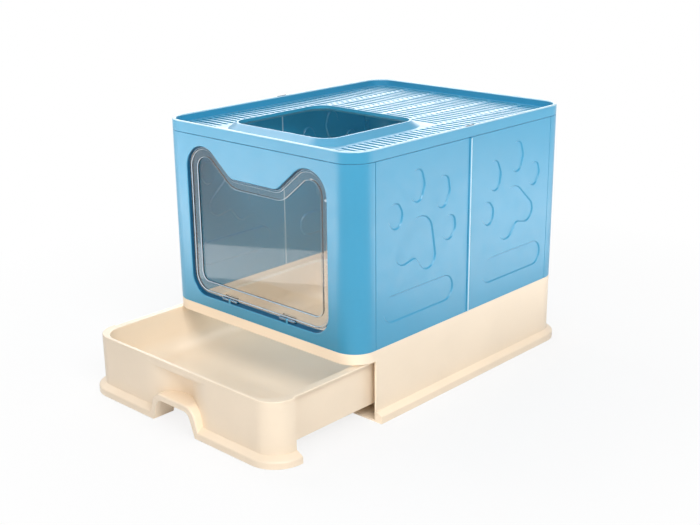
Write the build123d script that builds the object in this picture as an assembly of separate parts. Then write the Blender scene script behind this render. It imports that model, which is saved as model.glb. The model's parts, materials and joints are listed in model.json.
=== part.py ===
from build123d import *
import os
from math import acos, atan2, cos, degrees, hypot, radians, sin, sqrt, tan

os.makedirs("parts", exist_ok=True)

# A covered cat litter box: an open-fronted base with a pull-out litter drawer, a hood of six
# hinged panels that folds front to back, a clear cat-ear flap, and a lid with a top entry.
# Frame: millimetres, +Z up, +X to the right as seen from the front, the front faces -Y, and
# the origin is on the floor under the middle of the base. The drawer stands part way out.

# ---------------------------------------------------------------- driving dimensions
# Whole body
body_width = 390.0
body_depth = 488.0
corner_radius = 36.0
base_height = 108.0
hood_height = 264.0
lid_rim_height = 17.0
wall = 3.0
corner_return = 40.0
seam_gap = 0.6
seam_round = 0.5

# Nested joints between base, hood and lid
lip_wall = 1.4
lip_clearance = 0.3
hood_spigot_depth = 9.5
lid_spigot_height = 3.2
lid_seam = 0.5

# Base
floor_thickness = 3.0
rail_height = 15.5
rail_flange = 8.0
rail_flange_thickness = 2.5
plinth_reach = 10.0
plinth_face_height = 10.5
plinth_height = 16.0
plinth_wall = 2.5
plinth_round = 2.5
runner_spacing = 240.0
runner_width = 10.0

# Drawer
drawer_pull = 153.0
drawer_floor_gap = 1.0
drawer_rail_gap = 1.5
drawer_rear_gap = 4.0
fascia_side_gap = 1.5
fascia_rear_gap = 0.8
tray_side_gap = 10.0
tray_bottom_height = 22.5
tray_wall = 3.0
tray_rim_gap = 1.5
tray_rim_thickness = 2.5
tray_front_wall = 5.0
tray_corner_radius = 34.0
tray_draft = 4.0
tray_floor_radius = 26.0
rim_round = 1.4
runner_clearance = 0.3

# Finger hold in the drawer's front
arch_height = 35.0
arch_top_width = 66.0
arch_foot_width = 92.0
arch_corner_radius = 13.0
arch_band = 9.0
pocket_depth = 26.0
dish_depth = 18.0
dish_hollow_radius = 42.0
dish_shoulder_radius = 95.0
dish_top_drop = 7.0
dish_top_hollow_radius = 10.0

# Hinges between the hood's panels
pin_diameter = 3.0
pin_clearance = 0.08
pin_head_diameter = 3.8
pin_head_height = 1.2
pin_end_gap = 0.3
corner_knuckle_diameter = 7.0
corner_axis_inset = 2.0
middle_knuckle_diameter = 5.0
knuckle_clearance = 0.35
knuckle_count = 5
knuckle_spacing = 0.4
knuckle_end_gap = 1.0
knuckle_root = 3.5

# Doorway and flap in the front panel
door_width = 286.0
door_sill_height = 125.2
door_crown_height = 317.5
ear_radius = 36.0
ear_slope = 40.0
ear_valley_half_width = 47.5
valley_radius = 22.0
door_corner_radius = 30.0
door_frame_depth = 14.0
door_frame_wall = 2.5
door_edge_round = 1.5
flap_side_gap = 1.5
flap_sill_gap = 4.0
flap_setback = 4.0
flap_border_width = 15.5
flap_border_foot = 18.5
flap_border_depth = 6.3
flap_bead_width = 4.2
flap_ledge_drop = 1.8
flap_wall = 1.8
flap_edge_round = 1.3
flap_hinge_spacing = 122.0
flap_hinge_width = 32.0
flap_knuckle_diameter = 4.5
flap_pin_diameter = 2.0
flap_lug_width = 4.0
flap_lug_gap = 0.4
flap_axis_lead = 1.5
flap_axis_lift = 4.8
flap_slot_width = 26.0
flap_slot_height = 1.8
flap_slot_rise = 4.0
catch_height = 318.0
catch_stem_diameter = 1.8
catch_stem_length = 2.4
catch_bar_length = 4.0
catch_bar_height = 2.8
catch_bar_thickness = 1.2
catch_clearance = 0.06

# Paw and bar pressed into each side panel
relief_depth = 1.8
relief_slope = 45.0
paw_lean = 19.0
pad_top_radius = 28.0
pad_top_rise = 16.0
pad_lobe_radius = 18.5
pad_lobe_spread = 27.0
pad_lobe_drop = 12.0
pad_cleft_radius = 8.0
pad_offset = 14.0
pad_centre_height = 237.0
inner_toe_radius = 87.0
inner_toe_angle = 20.0
inner_toe_width = 33.0
inner_toe_length = 48.0
outer_toe_radius = 71.0
outer_toe_angle = 61.0
outer_toe_width = 31.0
outer_toe_length = 38.0
toe_tip_radius = 13.0
toe_fan = 0.2
bar_length = 154.0
bar_width = 40.0
bar_offset = 10.0
bar_height = 159.0

# Lid
rim_wall = 5.3
rim_top_round = 2.2
grid_drop = 11.0
grid_thickness = 2.5
slot_width = 6.0
slot_pitch = 12.0
slot_border = 6.0
rib_width = 7.0
column_pitch = 59.0
column_count = 6
entry_width = 196.0
entry_depth = 189.5
entry_front = 50.5
entry_corner_radius = 26.0
collar_height = 8.5
collar_slope_width = 13.0
collar_lip = 2.5
collar_border = 6.0
collar_skin = 2.5
collar_wall_height = 5.0
clip_length = 18.0
clip_width = 2.4
clip_thickness = 1.6
clip_sink = 1.0
clip_clearance = 0.15

# ---------------------------------------------------------------- derived places
half_width = body_width / 2
half_depth = body_depth / 2
hood_top = base_height + hood_height
lid_bottom = hood_top + lid_seam
lid_top = hood_top + lid_rim_height
grid_top = lid_top - grid_drop
seam_y = half_depth - corner_return
rail_bottom = base_height - rail_height
ledge_height = base_height - hood_spigot_depth
spigot_inset = lip_wall + lip_clearance
drawer_rim_height = rail_bottom - drawer_rail_gap
drawer_front = -half_depth - drawer_pull
fascia_width = body_width - 2 * fascia_side_gap
tray_half_width = half_width - wall - tray_side_gap
corner_axis_x = half_width - wall - corner_axis_inset
middle_axis_x = half_width
hinge_bottom = base_height + knuckle_end_gap
hinge_top = hood_top - knuckle_end_gap
door_front = -half_depth
flap_front = door_front + flap_setback
flap_back = flap_front + flap_border_depth
flap_ledge = flap_front + flap_ledge_drop
flap_axis_y = flap_front - flap_axis_lead
flap_axis_z = door_sill_height + flap_axis_lift
big = 2 * (body_width + body_depth)
match = 0.01


# ---------------------------------------------------------------- shared shapes
def box_between(low, high):
    """A plain box from its lowest to its highest corner."""
    size = [high[i] - low[i] for i in range(3)]
    centre = [(high[i] + low[i]) / 2 for i in range(3)]
    return Pos(*centre) * Box(*size)


def footprint(inset):
    """The body's rounded plan, drawn in by inset (or out, where inset is negative)."""
    return RectangleRounded(body_width - 2 * inset, body_depth - 2 * inset, corner_radius - inset)


def footprint_block(inset, bottom, top):
    return Pos(0, 0, bottom) * extrude(footprint(inset), amount=top - bottom)


def footprint_ring(inset, thickness, bottom, top):
    return footprint_block(inset, bottom, top) - footprint_block(inset + thickness, bottom, top)


def upright_rod(x, y, diameter, bottom, top):
    return Pos(x, y, bottom) * extrude(Circle(diameter / 2), amount=top - bottom)


def plan_inset(point):
    """How far inside the body's plan a point lies."""
    past_x = abs(point.X) - (half_width - corner_radius)
    past_y = abs(point.Y) - (half_depth - corner_radius)
    if past_x > 0 and past_y > 0:
        return corner_radius - hypot(past_x, past_y)
    return min(half_width - abs(point.X), half_depth - abs(point.Y))


def soften(shape, heights, seam_face):
    """Round the outer edges at the given heights, and upright ones at a face across Y."""
    def on_outline(edge):
        ends = edge.vertices()
        if any(abs(plan_inset(end)) > match for end in ends):
            return False
        if abs(ends[0].Z - ends[-1].Z) < match:
            return any(abs(ends[0].Z - height) < match for height in heights)
        return all(abs(abs(end.Y) - seam_face) < match for end in ends)

    return fillet(shape.edges().filter_by(on_outline), seam_round)


def plinth(bottom, hollow_front, hollow_rear):
    """The flared foot round the outside of the body, hollow from below between two places."""
    face = footprint_block(-plinth_reach, bottom, plinth_face_height)
    slope_height = plinth_height - plinth_face_height
    slope_angle = degrees(atan2(plinth_reach, slope_height))
    slope = Pos(0, 0, plinth_face_height) * extrude(
        footprint(-plinth_reach), amount=slope_height, taper=slope_angle
    )
    foot = face + slope
    shoulder = foot.edges().filter_by(
        lambda edge: abs(edge.center().Z - plinth_face_height) < match
    )
    foot = fillet(shoulder, plinth_round)
    hollow = footprint_block(plinth_wall - plinth_reach, bottom, plinth_face_height - plinth_wall)
    hollow &= box_between((-big, hollow_front, bottom), (big, hollow_rear, plinth_height))
    return foot - (hollow - footprint_block(0, bottom, plinth_face_height))


# ---------------------------------------------------------------- base
def make_base():
    shell = footprint_block(0, 0, base_height) + plinth(0, plinth_wall - seam_y, big)
    shell -= footprint_block(wall, floor_thickness, base_height)
    shell -= footprint_block(lip_wall, ledge_height, base_height)
    drawer_mouth = box_between(
        (-big, -big, -1), (big, -seam_y, rail_bottom)
    )
    shell -= drawer_mouth
    flange = footprint_ring(wall, rail_flange, rail_bottom, rail_bottom + rail_flange_thickness)
    flange &= box_between((-big, -big, 0), (big, -seam_y, base_height))
    shell += flange
    runner_top = tray_bottom_height - runner_clearance
    for side in (-1, 1):
        middle = side * runner_spacing / 2
        shell += box_between(
            (middle - runner_width / 2, -seam_y + runner_width, floor_thickness),
            (middle + runner_width / 2, half_depth - wall, runner_top),
        )
    return soften(shell, [base_height], seam_y)


# ---------------------------------------------------------------- drawer
def fascia_plan(inset):
    """The drawer front's plan: the body's rounded front end, a little narrower."""
    radius = corner_radius - fascia_side_gap - inset
    whole = Pos(0, drawer_front + body_depth / 2) * RectangleRounded(
        fascia_width - 2 * inset, body_depth - 2 * inset, radius
    )
    rear = drawer_front + corner_return - fascia_rear_gap
    kept = Pos(0, rear - big / 2) * Rectangle(2 * big, big)
    return whole & kept


def tray_plan(inset, front):
    """The litter tray's plan, drawn in by inset, from the given front to its rounded rear."""
    rear = drawer_front + body_depth - wall - drawer_rear_gap - inset
    width = 2 * (tray_half_width - inset)
    return Pos(0, (front + rear) / 2) * RectangleRounded(
        width, rear - front, tray_corner_radius - inset
    )


def arch_plan(margin, foot):
    """The finger arch in the drawer front, seen from the front and grown by margin."""
    top = arch_height + margin
    top_half = arch_top_width / 2 + margin
    foot_half = arch_foot_width / 2 + margin
    outline = make_face(
        Polyline(
            (-foot_half, foot),
            (-top_half, top),
            (top_half, top),
            (foot_half, foot),
            close=True,
        )
    )
    crown = outline.vertices().sort_by(Axis.Y)[-2:]
    return fillet(crown, arch_corner_radius + margin)


def front_prism(plan, front, rear):
    """Push a shape drawn in the XZ plane from the plane Y = front back to Y = rear."""
    return Pos(0, rear, 0) * extrude(Plane.XZ * plan, amount=rear - front)


def dish_plan(growth):
    """The dish from above: a hollow arc that blends into the flat front with two shoulders."""
    turn = acos(1 - dish_depth / (dish_hollow_radius + dish_shoulder_radius))
    half = (dish_hollow_radius + dish_shoulder_radius) * sin(turn)
    hollow = dish_hollow_radius + growth
    shoulder = dish_shoulder_radius - growth
    bend_x = hollow * sin(turn)
    bend_y = growth + shoulder * (1 - cos(turn))
    middle_x = half - shoulder * sin(turn / 2)
    middle_y = growth + shoulder * (1 - cos(turn / 2))
    outline = [
        ThreePointArc((-half, growth), (-middle_x, middle_y), (-bend_x, bend_y)),
        ThreePointArc((-bend_x, bend_y), (0, dish_depth + growth), (bend_x, bend_y)),
        ThreePointArc((bend_x, bend_y), (middle_x, middle_y), (half, growth)),
        Polyline((half, growth), (half, -half), (-half, -half), (-half, growth)),
    ]
    return make_face(Curve() + outline)


def dish_profile(growth):
    """The dish from the side: upright at the back, curling out to the front under the rim."""
    top = drawer_rim_height - dish_top_drop
    hollow_reach = (dish_top_hollow_radius + growth) * sin(radians(45))
    lip_radius = dish_depth - dish_top_hollow_radius
    lip_reach = (lip_radius - growth) * sin(radians(45))
    back = dish_depth + growth
    hollow_top = top - lip_radius + growth
    outline = [
        Line((back, 0), (back, top - dish_depth)),
        ThreePointArc(
            (back, top - dish_depth),
            (lip_radius + hollow_reach, top - dish_depth + hollow_reach),
            (lip_radius, hollow_top),
        ),
        ThreePointArc(
            (lip_radius, hollow_top),
            (lip_radius - lip_reach, top - lip_reach),
            (growth, top),
        ),
        Polyline((growth, top), (-back, top), (-back, 0), (back, 0)),
    ]
    return make_face(Curve() + outline)


def dish(growth):
    """The hollow above the finger arch that the fingertips curl into."""
    upright = extrude(dish_plan(growth), amount=drawer_rim_height)
    across = extrude(Plane.YZ * dish_profile(growth), amount=fascia_width / 2, both=True)
    hollow = upright & across & box_between(
        (-fascia_width / 2, -fascia_width, plinth_height),
        (fascia_width / 2, fascia_width, drawer_rim_height),
    )
    return Pos(0, drawer_front, 0) * hollow


def make_drawer():
    skirt_height = drawer_rim_height - drawer_floor_gap
    fascia = Pos(0, 0, drawer_floor_gap) * extrude(fascia_plan(0), amount=skirt_height)
    tray_height = drawer_rim_height - tray_bottom_height
    tray = Pos(0, 0, tray_bottom_height) * extrude(
        tray_plan(0, drawer_front), amount=tray_height
    )
    # The tray's blunt front corners stay inside the rounded drawer front.
    front_limit = Pos(0, 0, drawer_floor_gap) * extrude(
        Pos(0, drawer_front + body_depth / 2)
        * RectangleRounded(fascia_width, body_depth, corner_radius - fascia_side_gap),
        amount=skirt_height,
    )
    rim_bottom = drawer_rim_height - tray_rim_thickness
    flange = footprint_block(wall + tray_rim_gap, rim_bottom, drawer_rim_height)
    body = fascia + (tray & front_limit) + Pos(0, -drawer_pull, 0) * flange

    closed_rear = -seam_y - fascia_rear_gap
    foot = plinth(drawer_floor_gap, -big, closed_rear - plinth_wall)
    foot &= box_between((-big, -big, 0), (big, closed_rear, plinth_height))
    foot = Pos(0, -drawer_pull, 0) * foot
    foot -= extrude(fascia_plan(wall), amount=plinth_height)

    # The drawer front is a shell: open underneath and behind, beside the tray.
    pocket = extrude(fascia_plan(wall), amount=drawer_rim_height - wall)
    body -= pocket - tray
    body += foot

    cavity_height = drawer_rim_height - tray_bottom_height - tray_wall
    cavity_front = drawer_front + tray_front_wall
    cavity = Pos(0, 0, drawer_rim_height) * extrude(
        tray_plan(tray_wall, cavity_front), amount=-cavity_height, taper=tray_draft
    )
    floor_edges = cavity.faces().sort_by(Axis.Z)[0].edges()
    cavity = fillet(floor_edges, tray_floor_radius)
    pocket_rear = drawer_front + pocket_depth
    cavity -= front_prism(arch_plan(arch_band, tray_bottom_height), drawer_front, pocket_rear)
    cavity -= dish(tray_wall)
    body -= cavity
    body -= dish(0)
    rim = body.faces().filter_by(Axis.Z).group_by(Axis.Z)[-1]
    body = fillet(rim.edges(), rim_round)

    band_front = drawer_front - plinth_reach
    band = front_prism(arch_plan(arch_band, drawer_floor_gap), band_front, pocket_rear)
    band_edges = band.faces().sort_by(Axis.Y)[0].edges().sort_by(Axis.Z)[1:]
    body += fillet(band_edges, plinth_round)
    return body - front_prism(arch_plan(0, -1), band_front - 1, pocket_rear + 1)


# ---------------------------------------------------------------- hood
def knuckle_span(index):
    """The bottom and top of one hinge knuckle, counted from the lowest."""
    gaps = (knuckle_count - 1) * knuckle_spacing
    length = (hinge_top - hinge_bottom - gaps) / knuckle_count
    bottom = hinge_bottom + index * (length + knuckle_spacing)
    return bottom, bottom + length


def add_knuckles(panel, x, y, diameter, first, root):
    """Give a panel every other knuckle of a hinge, from the first, and room for the rest."""
    for index in range(knuckle_count):
        bottom, top = knuckle_span(index)
        if index % 2 == first:
            panel += upright_rod(x, y, diameter, bottom, top)
            if root:
                (x_low, x_high), (y_low, y_high) = root
                panel += box_between((x_low, y_low, bottom), (x_high, y_high, top))
        else:
            room = diameter + 2 * knuckle_clearance
            panel -= upright_rod(x, y, room, bottom - knuckle_spacing, top + knuckle_spacing)
    bore = pin_diameter + 2 * pin_clearance
    panel -= upright_rod(x, y, bore, hinge_bottom, hinge_top)
    head_room = pin_head_diameter + 2 * knuckle_clearance
    panel -= upright_rod(x, y, head_room, hinge_top, hinge_top + pin_head_height + pin_end_gap)
    return panel


def corner_root(side, end, towards):
    """The block that joins a corner knuckle to its panel's wall, on one side of the seam."""
    axis_x = side * corner_axis_x
    radius = corner_knuckle_diameter / 2
    xs = sorted((axis_x - side * radius, side * (half_width - wall / 2)))
    ys = sorted((end * seam_y, end * seam_y + towards * knuckle_root))
    return xs, ys


def hood_shell():
    """All the hood's walls in one ring, with the thin tongues that slip into base and lid."""
    shell = footprint_ring(0, wall, base_height, hood_top)
    tongue_wall = wall - spigot_inset
    foot = base_height - hood_spigot_depth + 2 * lip_clearance
    shell += footprint_ring(spigot_inset, tongue_wall, foot, base_height)
    shell += footprint_ring(spigot_inset, tongue_wall, hood_top, hood_top + lid_spigot_height)
    return shell


def toe(width, length):
    """An oval toe made of a belly circle with a smaller circle at each tip."""
    outline = Circle(width / 2)
    for end in (-1, 1):
        outline += Pos(0, end * (length / 2 - toe_tip_radius)) * Circle(toe_tip_radius)
    return make_hull(outline.edges())


def paw_pad():
    """The paw's pad, upright, with its own middle at the origin."""
    top = Pos(0, pad_top_rise) * Circle(pad_top_radius)
    pad = Sketch()
    for side in (-1, 1):
        lobe = Pos(side * pad_lobe_spread, -pad_lobe_drop) * Circle(pad_lobe_radius)
        pad += make_hull((top + lobe).edges())
    cleft = pad.vertices().filter_by(lambda v: abs(v.X) < 0.5 and v.Y < 0)
    return fillet(cleft, pad_cleft_radius)


def paw_print():
    """The whole paw, leaning by paw_lean, with its four toes fanned only a little."""
    paw = Rot(0, 0, -paw_lean) * paw_pad()
    inner = (inner_toe_radius, inner_toe_width, inner_toe_length)
    outer = (outer_toe_radius, outer_toe_width, outer_toe_length)
    toes = (
        (-outer_toe_angle, outer),
        (-inner_toe_angle, inner),
        (inner_toe_angle, inner),
        (outer_toe_angle, outer),
    )
    for angle, (radius, width, length) in toes:
        turn = angle + paw_lean
        place = Pos(radius * sin(radians(turn)), radius * cos(radians(turn)))
        paw += place * Rot(0, 0, -toe_fan * turn) * toe(width, length)
    return paw


def relief_sketches():
    """The pressed-in shapes about the middle of a panel's foot, with X towards the mid hinge."""
    paw = Pos(-pad_offset, pad_centre_height) * paw_print()
    bar = Pos(-bar_offset, bar_height) * SlotOverall(bar_length, bar_width)
    return paw + bar


def make_side_panel(side, end):
    """A side panel: side is 1 on the right and -1 on the left, end 1 at the rear, -1 in front."""
    half = seam_gap / 2
    near, far = sorted((end * half, end * (seam_y - half)))
    outer = side * big
    panel = hood_shell() & box_between(
        (min(0, outer), near, 0), (max(0, outer), far, hood_top + lid_rim_height)
    )
    middle = end * seam_y / 2
    face = Plane(origin=(half_width, middle, 0), x_dir=(0, -1, 0), z_dir=(-1, 0, 0))
    drawing = relief_sketches()
    if end < 0:
        drawing = mirror(drawing, about=Plane.YZ)
    for outline in drawing.faces():
        hollow = extrude(face * outline, amount=relief_depth, taper=relief_slope)
        boss = Pos(-wall, 0, 0) * hollow
        if side < 0:
            hollow = mirror(hollow, about=Plane.YZ)
            boss = mirror(boss, about=Plane.YZ)
        panel += boss
        panel -= hollow
    corner = corner_root(side, end, -end)
    panel = add_knuckles(
        panel, side * corner_axis_x, end * seam_y, corner_knuckle_diameter, 1, corner
    )
    first = 0 if end > 0 else 1
    panel = add_knuckles(panel, side * middle_axis_x, 0, middle_knuckle_diameter, first, None)
    return soften(panel, [base_height, hood_top], seam_y - half)


def make_end_panel(end):
    """The front or rear panel with its two rounded corners."""
    face = end * (seam_y + seam_gap / 2)
    ys = sorted((face, end * big))
    panel = hood_shell() & box_between((-big, ys[0], 0), (big, ys[1], hood_top + lid_rim_height))
    for side in (-1, 1):
        panel = add_knuckles(
            panel,
            side * corner_axis_x,
            end * seam_y,
            corner_knuckle_diameter,
            0,
            corner_root(side, end, end),
        )
    return soften(panel, [base_height, hood_top], seam_y + seam_gap / 2)


def door_outline(inset, sill_inset):
    """The cat-eared doorway, drawn in by inset at its sides and top and sill_inset below."""
    slope = radians(ear_slope)
    side = door_width / 2 - inset
    sill = door_sill_height + sill_inset
    valley = door_crown_height - inset
    fold = ear_valley_half_width + inset * (1 / cos(slope) - 1) / tan(slope)
    peak = valley + (side - fold) * tan(slope)
    outline = make_face(
        Polyline(
            (-side, sill),
            (side, sill),
            (side, peak),
            (fold, valley),
            (-fold, valley),
            (-side, peak),
            close=True,
        )
    )
    feet = outline.vertices().filter_by(lambda v: abs(v.Y - sill) < match)
    outline = fillet(feet, door_corner_radius - inset)
    peaks = outline.vertices().filter_by(lambda v: abs(v.Y - peak) < match)
    outline = fillet(peaks, ear_radius - inset)
    folds = outline.vertices().filter_by(
        lambda v: abs(v.Y - valley) < match and abs(abs(v.X) - fold) < match
    )
    return fillet(folds, valley_radius + inset)


def cross_rod(x_low, x_high, y, z, diameter):
    """A round rod along X."""
    return Pos(x_low, y, z) * extrude(Plane.YZ * Circle(diameter / 2), amount=x_high - x_low)


def flap_lug_spans():
    """The left and right end of each lug that carries a flap pin."""
    for side in (-1, 1):
        middle = side * flap_hinge_spacing / 2
        yield middle - flap_lug_width / 2, middle + flap_lug_width / 2


def flap_knuckle_spans():
    """The left and right end of the flap's own knuckles, one on each side of every lug."""
    reach = (flap_hinge_width - flap_lug_width) / 2
    for low, high in flap_lug_spans():
        yield low - reach, low - flap_lug_gap
        yield high + flap_lug_gap, high + reach


def make_front_panel():
    panel = make_end_panel(-1)
    collar = door_outline(-door_frame_wall, -door_frame_wall)
    panel += front_prism(collar, door_front, door_front + door_frame_depth)
    panel -= front_prism(door_outline(0, 0), door_front - 1, door_front + door_frame_depth + 1)
    doorway_edges = panel.edges().filter_by(
        lambda e: e.bounding_box().max.Y < door_front + match
        and abs(e.center().X) < half_width - corner_radius
        and base_height + wall < e.center().Z < hood_top - wall
    )
    panel = fillet(doorway_edges, door_edge_round)
    radius = flap_knuckle_diameter / 2
    for low, high in flap_lug_spans():
        panel += box_between(
            (low, flap_axis_y - radius, door_sill_height - door_frame_wall / 2),
            (high, flap_axis_y + radius, flap_axis_z),
        )
        panel += cross_rod(low, high, flap_axis_y, flap_axis_z, flap_knuckle_diameter)
    bore = flap_pin_diameter + 2 * pin_clearance
    panel -= cross_rod(-door_width / 2, door_width / 2, flap_axis_y, flap_axis_z, bore)
    return panel


def make_flap():
    """The clear flap: an edge bead on a raised ledge, hollow behind, round a thin pane."""
    border = (flap_side_gap + flap_border_width, flap_sill_gap + flap_border_foot)
    outside = door_outline(flap_side_gap, flap_sill_gap)
    bead_inside = door_outline(flap_side_gap + flap_bead_width, flap_sill_gap + flap_bead_width)
    flap = front_prism(outside, flap_ledge, flap_back)
    flap -= front_prism(door_outline(*border), flap_ledge, flap_back - flap_wall)
    ledge_face = flap.faces().sort_by(Axis.Y)[0]
    flap = fillet(ledge_face.inner_wires()[0].edges(), flap_edge_round)
    bead = front_prism(outside - bead_inside, flap_front, flap_ledge)
    flap += fillet(bead.faces().sort_by(Axis.Y)[0].edges(), flap_edge_round)
    outer_wall = door_outline(flap_side_gap + flap_wall, flap_sill_gap + flap_wall)
    inner_wall = door_outline(border[0] - flap_wall, border[1] - flap_wall)
    flap -= front_prism(outer_wall - inner_wall, flap_ledge + flap_wall, flap_back)
    radius = flap_knuckle_diameter / 2
    room = flap_knuckle_diameter + 2 * knuckle_clearance
    for low, high in flap_lug_spans():
        flap -= cross_rod(
            low - flap_lug_gap, high + flap_lug_gap, flap_axis_y, flap_axis_z, room
        )
    for low, high in flap_knuckle_spans():
        flap += cross_rod(low, high, flap_axis_y, flap_axis_z, flap_knuckle_diameter)
        flap += box_between(
            (low, flap_axis_y, flap_axis_z - radius),
            (high, flap_front + flap_wall, flap_axis_z + radius),
        )
    bore = flap_pin_diameter + 2 * pin_clearance
    flap -= cross_rod(-door_width / 2, door_width / 2, flap_axis_y, flap_axis_z, bore)
    slot_bottom = flap_axis_z + flap_slot_rise
    for side in (-1, 1):
        middle = side * flap_hinge_spacing / 2
        flap -= box_between(
            (middle - flap_slot_width / 2, flap_front - match, slot_bottom),
            (middle + flap_slot_width / 2, flap_back, slot_bottom + flap_slot_height),
        )
    hole = catch_stem_diameter + 2 * catch_clearance
    hole_bottom = flap_front + catch_stem_length + catch_clearance
    return flap - catch_prism(Circle(hole / 2), flap_front - 1, hole_bottom)


def catch_prism(plan, front, rear):
    x = door_width / 2 - flap_side_gap - flap_bead_width / 2
    return Pos(x, 0, catch_height) * front_prism(plan, front, rear)


def make_catch():
    """The small catch near the flap's upper right edge: a bar whose stem sits in the bead."""
    front = flap_front - catch_clearance
    catch = catch_prism(Circle(catch_stem_diameter / 2), front, flap_front + catch_stem_length)
    bar = SlotOverall(catch_bar_length, catch_bar_height)
    return catch + catch_prism(bar, front - catch_bar_thickness, front)


# ---------------------------------------------------------------- pins
def make_hood_pin(x, y):
    pin = upright_rod(x, y, pin_diameter, hinge_bottom + pin_end_gap, hinge_top)
    return pin + upright_rod(x, y, pin_head_diameter, hinge_top, hinge_top + pin_head_height)


def make_flap_pin(side):
    reach = flap_hinge_width / 2
    middle = side * flap_hinge_spacing / 2
    return cross_rod(middle - reach, middle + reach, flap_axis_y, flap_axis_z, flap_pin_diameter)


# ---------------------------------------------------------------- lid
def entry_plan(growth):
    """The top entry, grown on every side."""
    middle = -half_depth + entry_front + entry_depth / 2
    return Pos(0, middle) * RectangleRounded(
        entry_width + 2 * growth, entry_depth + 2 * growth, entry_corner_radius + growth
    )


def tapered_collar(foot_growth, bottom, top):
    slope = degrees(atan2(collar_slope_width, collar_height))
    return Pos(0, 0, bottom) * extrude(entry_plan(foot_growth), amount=top - bottom, taper=slope)


def grid_half_width(y):
    """How far the slots may reach from the middle at a slot row's outer edge."""
    inset = rim_wall + slot_border
    corner_start = half_depth - corner_radius
    edge = abs(y) + slot_width / 2
    if edge <= corner_start:
        return half_width - inset
    radius = corner_radius - inset
    return half_width - corner_radius + sqrt(max(0, radius ** 2 - (edge - corner_start) ** 2))


def slot_rectangle(left, right, y):
    return Pos((left + right) / 2, y) * RectangleRounded(
        right - left, slot_width, slot_width / 4
    )


def slot_field():
    """Rows of slots in columns; in front of and beside the entry only the outer columns run."""
    last = int((half_depth - rim_wall - slot_border - slot_width / 2) / slot_pitch)
    entry_rear = -half_depth + entry_front + entry_depth
    first_full = entry_rear + collar_lip + collar_slope_width + collar_border + slot_width / 2
    field = []
    for row in range(-last, last + 1):
        y = row * slot_pitch
        for column in range(column_count // 2):
            outermost = column == column_count // 2 - 1
            if y < first_full and not outermost:
                continue
            left = column * column_pitch + rib_width / 2
            right = (column + 1) * column_pitch - rib_width / 2
            if outermost:
                right = grid_half_width(y)
            field.append(slot_rectangle(left, right, y))
            field.append(slot_rectangle(-right, -left, y))
    return Sketch() + field


def make_lid():
    grid_bottom = grid_top - grid_thickness
    rim = footprint_ring(0, rim_wall, grid_bottom, lid_top)
    rim = fillet(rim.edges().group_by(Axis.Z)[-1], rim_top_round)
    skirt = footprint_ring(0, lip_wall, lid_bottom, grid_bottom)
    grid = footprint(rim_wall) - slot_field() - entry_plan(0)
    lid = rim + skirt + Pos(0, 0, grid_bottom) * extrude(grid, amount=grid_thickness)
    collar_top = grid_top + collar_height
    foot = collar_lip + collar_slope_width
    collar = tapered_collar(foot, grid_top, collar_top)
    lid += collar - Pos(0, 0, grid_bottom) * extrude(entry_plan(0), amount=lid_top - grid_bottom)
    hollow = tapered_collar(foot - collar_skin, grid_bottom, collar_top - collar_skin)
    kept = Pos(0, 0, collar_top - collar_wall_height) * extrude(
        entry_plan(collar_lip), amount=collar_wall_height
    )
    lid -= hollow - kept
    for side in (-1, 1):
        lid -= clip_block(side, clip_clearance, lid_top + clip_sink)
    return soften(lid, [lid_bottom], 0)


def clip_block(side, growth, top):
    """A bar let into the rim's top, grown on its sides and underneath, up to a given height."""
    middle = side * (half_width - rim_wall / 2)
    across = clip_width / 2 + growth
    along = clip_length / 2 + growth
    return box_between(
        (middle - across, -along, lid_top - clip_sink - growth), (middle + across, along, top)
    )


def make_clip(side):
    """A small marker clip that sits in the rim's top."""
    return clip_block(side, 0, lid_top - clip_sink + clip_thickness)


# ---------------------------------------------------------------- the whole object
sides = {"left": -1, "right": 1}
ends = {"rear": 1, "middle": 0, "front": -1}

parts = {"base": make_base(), "drawer": make_drawer()}
parts["rear_panel"] = make_end_panel(1)
parts["front_panel"] = make_front_panel()
for side_name, side in sides.items():
    for end_name, end in ends.items():
        if end:
            parts[f"{side_name}_{end_name}_panel"] = make_side_panel(side, end)
        axis_x = corner_axis_x if end else middle_axis_x
        parts[f"{side_name}_{end_name}_pin"] = make_hood_pin(side * axis_x, end * seam_y)
    parts[f"{side_name}_flap_pin"] = make_flap_pin(side)
    parts[f"{side_name}_lid_clip"] = make_clip(side)
parts["door_flap"] = make_flap()
parts["flap_catch"] = make_catch()
parts["lid"] = make_lid()

for name, shape in parts.items():
    export_step(shape, f"parts/{name}.step")
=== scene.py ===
import json
import math

import bpy
from mathutils import Matrix, Vector


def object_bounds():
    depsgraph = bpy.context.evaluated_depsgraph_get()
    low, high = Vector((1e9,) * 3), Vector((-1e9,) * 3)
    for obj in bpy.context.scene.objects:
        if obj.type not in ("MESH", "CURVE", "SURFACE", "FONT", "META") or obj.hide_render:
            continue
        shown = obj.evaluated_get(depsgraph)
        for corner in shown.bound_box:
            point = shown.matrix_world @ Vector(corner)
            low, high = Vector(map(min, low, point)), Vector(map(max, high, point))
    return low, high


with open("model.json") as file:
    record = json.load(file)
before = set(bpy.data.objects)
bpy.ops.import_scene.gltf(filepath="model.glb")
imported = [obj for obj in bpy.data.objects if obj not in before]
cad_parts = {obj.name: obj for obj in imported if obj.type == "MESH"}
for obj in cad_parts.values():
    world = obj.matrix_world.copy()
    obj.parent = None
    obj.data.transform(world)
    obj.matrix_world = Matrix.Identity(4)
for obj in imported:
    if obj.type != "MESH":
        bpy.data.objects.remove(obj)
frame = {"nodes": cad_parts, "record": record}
cad_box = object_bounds()

# ---------------------------------------------------------------- measures, in metres
mm = 0.001
camera_place = Vector((1146.99, -1272.93, 704.61)) * mm
camera_azimuth = math.radians(43.07)
camera_drop = math.radians(18.15)
camera_roll = math.radians(-0.59)
camera_lens = 58.07
camera_sensor = 36.0

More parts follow.
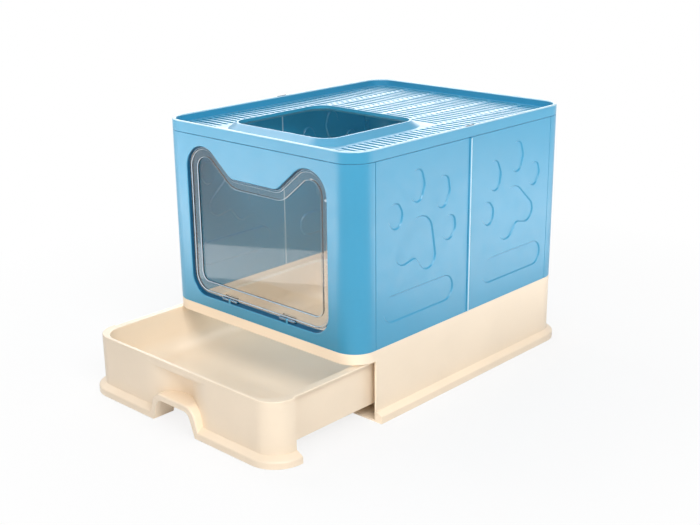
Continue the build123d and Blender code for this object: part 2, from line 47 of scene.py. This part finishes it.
# Noise scales, in bumps per metre
drift_scale = 9
wave_scale = 22
rub_scale = 55
grain_scale = 1500
fine_grain_scale = 1800
smear_scale = 40

# The floor, and how much of it shows as plain white near the object and past its shadow
floor_reach = 8.0
floor_gap = 0.2 * mm
shadow_start, shadow_end = 0.3, 0.9
near_white, far_white = 0.80, 1.0

# Colours, as sRGB values from 0 to 1
blue_colour = (0.22, 0.61, 0.765)
cream_colour = (0.985, 0.91, 0.81)
# Painted highlight colour for the side panels' fold lines and the lid's rim
highlight_blue_colour = (0.74, 0.88, 0.94)
# Painted shade colour for the inside of the doorway
reveal_shade_colour = (0.05, 0.37, 0.53)
clear_colour = (0.93, 0.915, 0.905)
# Painted reflection colour for the clear flap's slanted faces
clear_edge_reflection_colour = (0.84, 0.93, 1.0)
clip_colour = (0.20, 0.33, 0.42)
catch_colour = (0.66, 0.76, 0.82)


# ---------------------------------------------------------------- material helpers
def linear(colour):
    """The linear value of an sRGB colour, with full alpha."""
    values = [c / 12.92 if c <= 0.04045 else ((c + 0.055) / 1.055) ** 2.4 for c in colour]
    return (*values, 1.0)


def shaded(colour, factor):
    return tuple(min(1.0, c * factor) for c in colour)


class Nodes:
    """A short way to place and join a material's nodes."""

    def __init__(self, name):
        self.material = bpy.data.materials.new(name)
        self.material.use_nodes = True
        self.tree = self.material.node_tree
        self.shader = self.tree.nodes["Principled BSDF"]
        self.output = self.tree.nodes["Material Output"]

    def add(self, kind, **values):
        node = self.tree.nodes.new(kind)
        for name, value in values.items():
            setattr(node, name, value)
        return node

    def join(self, out, into):
        self.tree.links.new(out, into)

    def noise(self, scale, detail, roughness=0.5):
        node = self.add("ShaderNodeTexNoise")
        node.inputs["Scale"].default_value = scale
        node.inputs["Detail"].default_value = detail
        node.inputs["Roughness"].default_value = roughness
        self.join(self.place.outputs["Object"], node.inputs["Vector"])
        return node.outputs["Fac"]

    @property
    def place(self):
        node = self.tree.nodes.get("Texture Coordinate")
        return node or self.add("ShaderNodeTexCoord")

    def object_axis(self, kind, axis):
        """How far a point's object position, or its normal, reaches along an axis either way."""
        source = {"Position": "Object", "Normal": "Normal"}[kind]
        parts = self.add("ShaderNodeSeparateXYZ")
        self.join(self.place.outputs[source], parts.inputs[0])
        size = self.add("ShaderNodeMath", operation="ABSOLUTE")
        self.join(parts.outputs[axis], size.inputs[0])
        return size.outputs[0]

    def spread(self, value, low, high, start=0.3, stop=0.7):
        """Low where a value is below start, high where it is above stop, and even between."""
        node = self.add("ShaderNodeMapRange")
        ends = {"From Min": start, "From Max": stop, "To Min": low, "To Max": high}
        for name, number in ends.items():
            node.inputs[name].default_value = number
        self.join(value, node.inputs["Value"])
        return node.outputs["Result"]

    def blend_colours(self, factor, first, second):
        """Mix two colours. The first may also be another node's output."""
        node = self.add("ShaderNodeMix", data_type="RGBA")
        self.join(factor, node.inputs["Factor"])
        if isinstance(first, bpy.types.NodeSocket):
            self.join(first, node.inputs["A"])
        else:
            node.inputs["A"].default_value = first
        node.inputs["B"].default_value = second
        return node.outputs["Result"]

    def combine(self, operation, first, second):
        node = self.add("ShaderNodeMath", operation=operation)
        self.join(first, node.inputs[0])
        self.join(second, node.inputs[1])
        return node.outputs[0]

    def bump(self, height, strength, distance, normal=None):
        node = self.add("ShaderNodeBump")
        node.inputs["Strength"].default_value = strength
        node.inputs["Distance"].default_value = distance
        self.join(height, node.inputs["Height"])
        if normal:
            self.join(normal, node.inputs["Normal"])
        return node.outputs["Normal"]


def moulded_plastic(name, colour, roughness, grain, bloom, pale_band=None, reveal=None):
    """Moulded plastic: a fine eroded grain, slow waves, faint colour drift and rubbed patches.

    Bloom is the strength of a soft haze over the gloss. A highlight band, given as an axis and
    the places where it starts and is full, is painted paler, as a painted highlight. A reveal,
    given as how far it reaches from the middle, is painted darker where it faces inwards, as
    painted shade.
    """
    nodes = Nodes(name)
    shader = nodes.shader
    tone = nodes.blend_colours(
        nodes.spread(nodes.noise(drift_scale, 3), 0, 1),
        linear(shaded(colour, 0.985)), linear(shaded(colour, 1.01)),
    )
    # Painted highlight: the band is painted paler
    if pale_band:
        axis, fade, full = pale_band
        highlight_share = nodes.spread(nodes.object_axis("Position", axis), 0, 1, fade, full)
        tone = nodes.blend_colours(highlight_share, tone, linear(highlight_blue_colour))
    # Painted shade: the doorway's inner faces are painted darker
    if reveal:
        sideways = nodes.spread(nodes.object_axis("Normal", "Y"), 1, 0, 0.3, 0.6)
        within = nodes.spread(nodes.object_axis("Position", "X"), 1, 0, reveal, reveal + 1 * mm)
        inward_shade = nodes.combine("MULTIPLY", sideways, within)
        tone = nodes.blend_colours(inward_shade, tone, linear(reveal_shade_colour))
    nodes.join(tone, shader.inputs["Base Color"])
    rub = nodes.noise(rub_scale, 5, 0.6)
    nodes.join(nodes.spread(rub, roughness - 0.05, roughness + 0.06), shader.inputs["Roughness"])
    waves = nodes.bump(nodes.noise(wave_scale, 1), 0.12, 1.5 * mm)
    eroded = nodes.bump(nodes.noise(grain, 2, 0.7), 0.16, 0.12 * mm, waves)
    nodes.join(eroded, shader.inputs["Normal"])
    shader.inputs["Specular IOR Level"].default_value = 0.65
    shader.inputs["Sheen Weight"].default_value = bloom
    shader.inputs["Sheen Roughness"].default_value = 0.45
    return nodes.material


def clear_plastic(name):
    """Clear moulded plastic with whitish edges, which lets the lamps' light into the hood.

    The pane is clear and its border a little less so. Faces at a slant to the front are painted
    pale, a painted reflection, and those that stand square to it are painted dark, a painted
    shade for where thick clear plastic bends the light away.
    """
    nodes = Nodes(name)
    shader = nodes.shader
    facing = nodes.object_axis("Normal", "Y")
    straight = nodes.spread(facing, 0, 1, 0.92, 0.99)
    # Painted reflection and shade: slanted faces are painted pale, square faces dark
    painted_edge_light = nodes.blend_colours(
        nodes.spread(facing, 0, 1, 0.05, 0.30),
        linear(shaded(clear_colour, 0.14)), linear(clear_edge_reflection_colour),
    )
    tint = nodes.blend_colours(straight, painted_edge_light, linear(clear_colour))
    nodes.join(tint, shader.inputs["Base Color"])

    # Depths are counted forwards from the flap's rear: pane, then border, then knuckles
    rear = min(abs(corner[1]) for corner in frame["nodes"]["door_flap"].bound_box)
    pane_front, border_rear = rear + 2.2 * mm, rear + 3.4 * mm
    border_front, knuckle_rear = rear + 6.4 * mm, rear + 6.8 * mm
    depth = nodes.object_axis("Position", "Y")
    border = nodes.spread(depth, 1.0, 0.93, pane_front, border_rear)
    edges = nodes.spread(facing, 0.15, 1.0, 0.92, 0.99)
    knuckles = nodes.spread(depth, 0, 0.9, border_front, knuckle_rear)
    clearness = nodes.combine("MAXIMUM", nodes.combine("MINIMUM", border, edges), knuckles)
    nodes.join(clearness, shader.inputs["Transmission Weight"])
    smears = nodes.spread(nodes.noise(smear_scale, 4), 0.01, 0.05)
    nodes.join(smears, shader.inputs["Roughness"])
    nodes.join(nodes.bump(nodes.noise(drift_scale, 1), 0.10, 1.2 * mm), shader.inputs["Normal"])
    shader.inputs["IOR"].default_value = 1.49

    # Plain see-through for shadow and diffuse rays, so that light passes the flap
    clear = nodes.add("ShaderNodeBsdfTransparent")
    clear.inputs["Color"].default_value = linear((0.93, 0.94, 0.94))
    rays = nodes.add("ShaderNodeLightPath").outputs
    passing = nodes.combine("MAXIMUM", rays["Is Shadow Ray"], rays["Is Diffuse Ray"])
    mix = nodes.add("ShaderNodeMixShader")
    nodes.join(passing, mix.inputs[0])
    nodes.join(shader.outputs[0], mix.inputs[1])
    nodes.join(clear.outputs[0], mix.inputs[2])
    nodes.join(mix.outputs[0], nodes.output.inputs["Surface"])
    return nodes.material


def dress(node, material):
    """Give a CAD node its finish."""
    for place in frame["nodes"][node].material_slots:
        place.material = material


# ---------------------------------------------------------------- finishes
def blue_plastic(name, colour=blue_colour, grain=grain_scale, **extras):
    return moulded_plastic(name, colour, roughness=0.34, grain=grain, bloom=0.12, **extras)


def small_part_plastic(name, colour, roughness):
    return moulded_plastic(name, colour, roughness, grain=fine_grain_scale, bloom=0.0)


pin_colour = shaded(blue_colour, 0.95)
finishes = {
    "blue_plastic": blue_plastic("blue_plastic_finish"),
    "pin_plastic": blue_plastic("pin_plastic_finish", pin_colour, fine_grain_scale),
    "cream_plastic": moulded_plastic(
        "cream_plastic_finish", cream_colour, roughness=0.38, grain=grain_scale, bloom=0.08
    ),
    "clear_plastic": clear_plastic("clear_plastic_finish"),
    "white_plastic": small_part_plastic("white_plastic_finish", catch_colour, roughness=0.25),
    "clip_plastic": small_part_plastic("clip_plastic_finish", clip_colour, roughness=0.40),
}
for entry in frame["record"]["subparts"]:
    dress(entry["node"], finishes[entry["material_slot"]])

# Painted highlights on the fold line between two side panels and on the lid's rim, and painted
# shade inside the doorway
fold_highlight = ("Y", 1.7 * mm, 1.1 * mm)
side_blue = blue_plastic("side_plastic_finish", pale_band=fold_highlight)
for side in ("left", "right"):
    for end in ("front", "rear"):
        dress(f"{side}_{end}_panel", side_blue)

lid = frame["nodes"]["lid"]
rim_top = (lid.matrix_world @ Vector(lid.bound_box[1])).z
rim_highlight = ("Z", rim_top - 2.0 * mm, rim_top - 0.9 * mm)
dress("lid", blue_plastic("lid_plastic_finish", pale_band=rim_highlight))

# Painted shade on the doorway's inner faces, out to just past the flap's edge
flap_half_width = max(corner[0] for corner in frame["nodes"]["door_flap"].bound_box)
doorway_reach = flap_half_width + 3 * mm
dress("front_panel", blue_plastic("front_plastic_finish", reveal=doorway_reach))


# ---------------------------------------------------------------- studio
def make_floor():
    """A white floor that keeps the object's soft shadow."""
    mesh = bpy.data.meshes.new("floor")
    turns = ((-1, -1), (1, -1), (1, 1), (-1, 1))
    corners = [(floor_reach * x, floor_reach * y, 0) for x, y in turns]
    mesh.from_pydata(corners, [], [(0, 1, 2, 3)])
    floor = bpy.data.objects.new("floor", mesh)
    floor.location.z = cad_box[0].z - floor_gap
    bpy.context.scene.collection.objects.link(floor)
    nodes = Nodes("floor_finish")
    nodes.shader.inputs["Base Color"].default_value = (0.86, 0.86, 0.86, 1)
    nodes.shader.inputs["Roughness"].default_value = 0.9
    glow = nodes.add("ShaderNodeEmission")
    distance = nodes.add("ShaderNodeVectorMath", operation="LENGTH")
    nodes.join(nodes.place.outputs["Object"], distance.inputs[0])
    white_share = nodes.spread(
        distance.outputs["Value"], near_white, far_white, shadow_start, shadow_end
    )
    rays = nodes.add("ShaderNodeLightPath").outputs
    seen = nodes.combine("MAXIMUM", rays["Is Camera Ray"], rays["Is Glossy Ray"])
    mix = nodes.add("ShaderNodeMixShader")
    nodes.join(nodes.combine("MULTIPLY", seen, white_share), mix.inputs[0])
    nodes.join(nodes.shader.outputs[0], mix.inputs[1])
    nodes.join(glow.outputs[0], mix.inputs[2])
    nodes.join(mix.outputs[0], nodes.output.inputs["Surface"])
    mesh.materials.append(nodes.material)


def make_world():
    """White where the camera, gloss or clear plastic sees it, and a soft dim fill elsewhere."""
    world = bpy.data.worlds.new("studio")
    bpy.context.scene.world = world
    world.use_nodes = True
    tree = world.node_tree
    fill = tree.nodes["Background"]
    fill.inputs["Color"].default_value = (0.95, 0.97, 1.0, 1)
    fill.inputs["Strength"].default_value = 0.12
    white_wall = tree.nodes.new("ShaderNodeBackground")
    white_wall.inputs["Color"].default_value = (1, 1, 1, 1)
    rays = tree.nodes.new("ShaderNodeLightPath")
    mix = tree.nodes.new("ShaderNodeMixShader")
    seen = rays.outputs["Is Camera Ray"]
    for other in ("Is Glossy Ray", "Is Transmission Ray"):
        either = tree.nodes.new("ShaderNodeMath")
        either.operation = "MAXIMUM"
        tree.links.new(seen, either.inputs[0])
        tree.links.new(rays.outputs[other], either.inputs[1])
        seen = either.outputs[0]
    tree.links.new(seen, mix.inputs[0])
    tree.links.new(fill.outputs[0], mix.inputs[1])
    tree.links.new(white_wall.outputs[0], mix.inputs[2])
    tree.links.new(mix.outputs[0], tree.nodes["World Output"].inputs["Surface"])


def make_lamp(name, place, size, power, target=(0, -0.05, 0.2), spread=180):
    """A soft rectangular lamp, turned to a target, that the camera doesn't see."""
    lamp = bpy.data.lights.new(name, "AREA")
    lamp.shape = "RECTANGLE"
    lamp.size, lamp.size_y = size
    lamp.energy = power
    lamp.spread = math.radians(spread)
    holder = bpy.data.objects.new(name, lamp)
    holder.location = place
    aim = Vector(target) - Vector(place)
    holder.rotation_euler = aim.to_track_quat("-Z", "Y").to_euler()
    holder.visible_camera = False
    bpy.context.scene.collection.objects.link(holder)
    return holder


def make_floor_card(name, place, size, power, turn=0):
    """A lamp that lies low and faces up, as a white table seen in the object's gloss."""
    holder = make_lamp(name, place, size, power)
    holder.rotation_euler = (math.pi, 0, math.radians(turn))
    return holder


def limit_lamp(holder, nodes, state):
    """Let a lamp light only some of the CAD nodes, or leave some out."""
    group = bpy.data.collections.new(holder.name + "_receivers")
    for node in nodes:
        group.objects.link(frame["nodes"][node])
    for entry in group.collection_objects:
        entry.light_linking.link_state = state
    holder.light_linking.receiver_collection = group


def make_camera():
    """The photograph's camera, from its place, direction, roll and lens."""
    back = Vector((
        math.sin(camera_azimuth) * math.cos(camera_drop),
        -math.cos(camera_azimuth) * math.cos(camera_drop),
        math.sin(camera_drop),
    ))
    level = Vector((math.cos(camera_azimuth), math.sin(camera_azimuth), 0))
    right = level * math.cos(camera_roll) + back.cross(level) * math.sin(camera_roll)
    up = back.cross(right)
    lens = bpy.data.cameras.new("camera")
    lens.lens = camera_lens
    lens.sensor_width = camera_sensor
    lens.sensor_fit = "HORIZONTAL"
    camera = bpy.data.objects.new("camera", lens)
    camera.matrix_world = Matrix.Translation(camera_place) @ Matrix(
        (right, up, back)
    ).transposed().to_4x4()
    bpy.context.scene.collection.objects.link(camera)
    bpy.context.scene.camera = camera


make_floor()
make_world()
make_camera()

# Lamps for the whole object: name, place, size in metres and power in watts
make_lamp("key_lamp", (1.6, -0.9, 1.55), (1.1, 1.1), 30)
make_lamp("front_lamp", (0.45, -1.85, 1.1), (1.0, 1.0), 8.5)
make_lamp("top_lamp", (0.0, 0.2, 2.1), (1.4, 1.4), 6)
make_lamp("rim_lamp", (-1.45, 0.1, 1.7), (1.2, 1.2), 16)
make_lamp("back_lamp", (-1.7, 2.0, 1.15), (2.0, 1.3), 28)
make_floor_card("right_card", (0.90, 0.70, 0.01), (1.0, 1.1), 9)

# Lamps for some pieces only. Without the first and last, the base's front and the cabin's floor
# are too dim under the hood. The table's glow would bleach the cream and fog the clear flap,
# so it leaves them out, and the flap has a small one of its own.
base_lamp = make_lamp("base_lamp", (0.35, -1.75, 1.3), (1.0, 1.0), 12)
limit_lamp(base_lamp, ["base"], "INCLUDE")
left_card = make_floor_card("left_card", (-0.92, -1.15, 0.01), (1.4, 1.2), 21)
limit_lamp(left_card, ["base", "drawer", "door_flap"], "EXCLUDE")
pane_card = make_floor_card("pane_card", (-0.43, -0.59, 0.02), (0.45, 0.2), 0.38, -29)
limit_lamp(pane_card, ["door_flap"], "INCLUDE")
cabin_lamp = make_lamp(
    "cabin_lamp", (0, 0.04, 0.36), (0.34, 0.34), 0.35, target=(0, 0.04, 0), spread=110
)
limit_lamp(cabin_lamp, ["base", "drawer"], "INCLUDE")

bpy.context.scene.view_settings.view_transform = "Standard"
